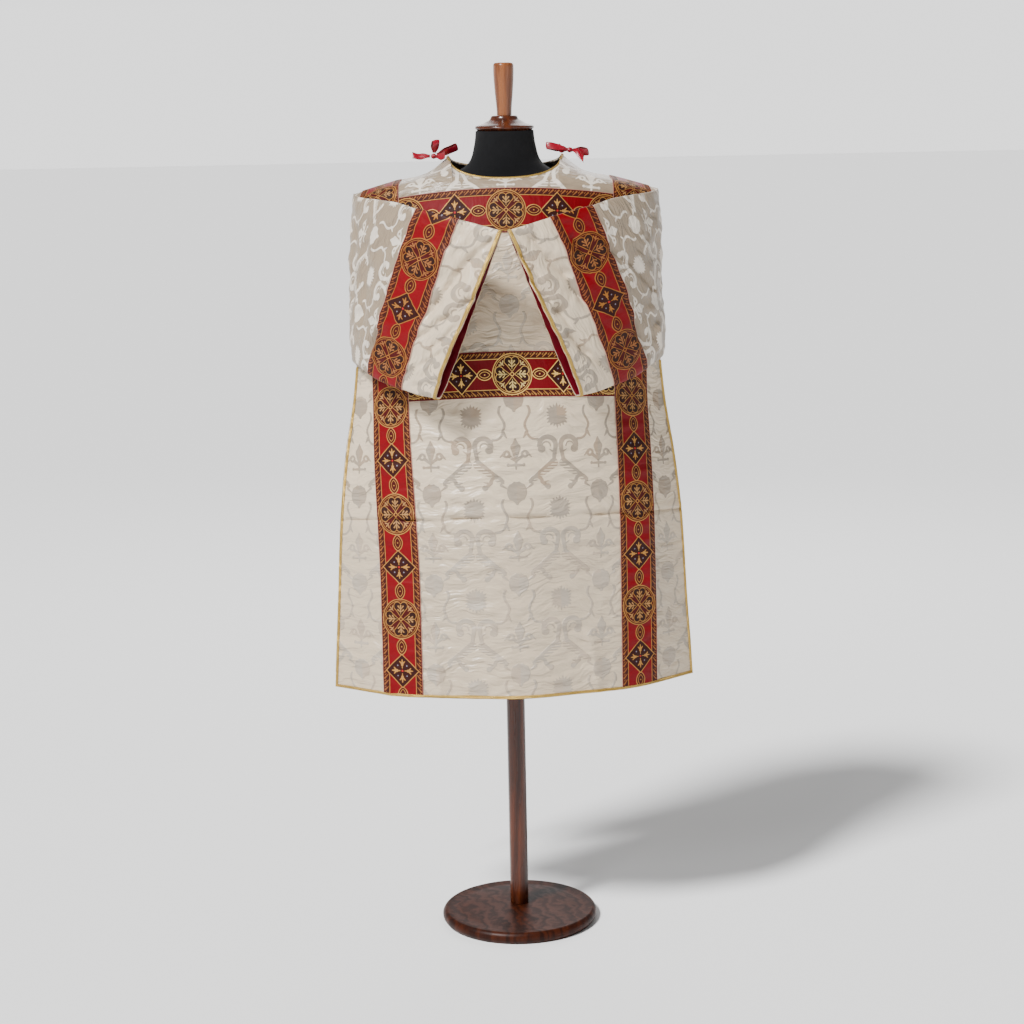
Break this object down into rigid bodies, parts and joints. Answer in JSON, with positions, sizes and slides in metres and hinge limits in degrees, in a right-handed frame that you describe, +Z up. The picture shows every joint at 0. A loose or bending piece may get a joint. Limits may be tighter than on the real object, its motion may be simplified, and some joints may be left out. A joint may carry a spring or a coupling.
{
  "type": "dalmatic on a dress form",
  "caption": "Cream damask dalmatic with red and gold orphrey bands and braid, on a limbless dress form with a turned cap and a disc base.",
  "frame": {"origin": "centre of the base's flat underside", "axes": "+Z up, the front of the garment faces -Y, the wearer's left is +X"},
  "size_m": [0.6868, 0.4643, 1.642],
  "materials": {
    "damask": "satin-ground silk damask, cream motifs",
    "orphrey": "woven red and gold silk band",
    "gold_braid": "metal-thread braid",
    "crimson_lining": "satin lining",
    "ribbon": "satin ribbon",
    "jersey": "matt black cotton cover",
    "walnut": "glossy red-brown varnish",
    "beech": "varnished"
  },
  "bodies": {
    "root": {"back_panel": "damask", "band_back_chest": "orphrey", "band_back_waist": "orphrey", "band_front_chest": "orphrey", "band_front_waist": "orphrey", "band_sleeve_left": "orphrey", "band_sleeve_right": "orphrey", "bow_left_knot": "ribbon", "bow_left_loop_1": "ribbon", "bow_left_loop_2": "ribbon", "bow_left_tail_1": "ribbon", "bow_left_tail_2": "ribbon", "bow_right_knot": "ribbon", "bow_right_loop_1": "ribbon", "bow_right_loop_2": "ribbon", "bow_right_tail_1": "ribbon", "bow_right_tail_2": "ribbon", "braid_cuff_left": "gold_braid", "braid_cuff_right": "gold_braid", "braid_hem_back": "gold_braid", "braid_hem_front": "gold_braid", "braid_neck_back": "gold_braid", "braid_neck_front": "gold_braid", "clavus_back_left": "orphrey", "clavus_back_right": "orphrey", "clavus_front_left": "orphrey", "clavus_front_right": "orphrey", "form_base": "walnut", "form_cap": "walnut", "form_handle": "beech", "form_post": "walnut", "form_torso": "jersey", "front_panel": "damask", "lining_left": "crimson_lining", "lining_right": "crimson_lining", "sleeve_left": "damask", "sleeve_right": "damask"}
  },
  "joints": []
}
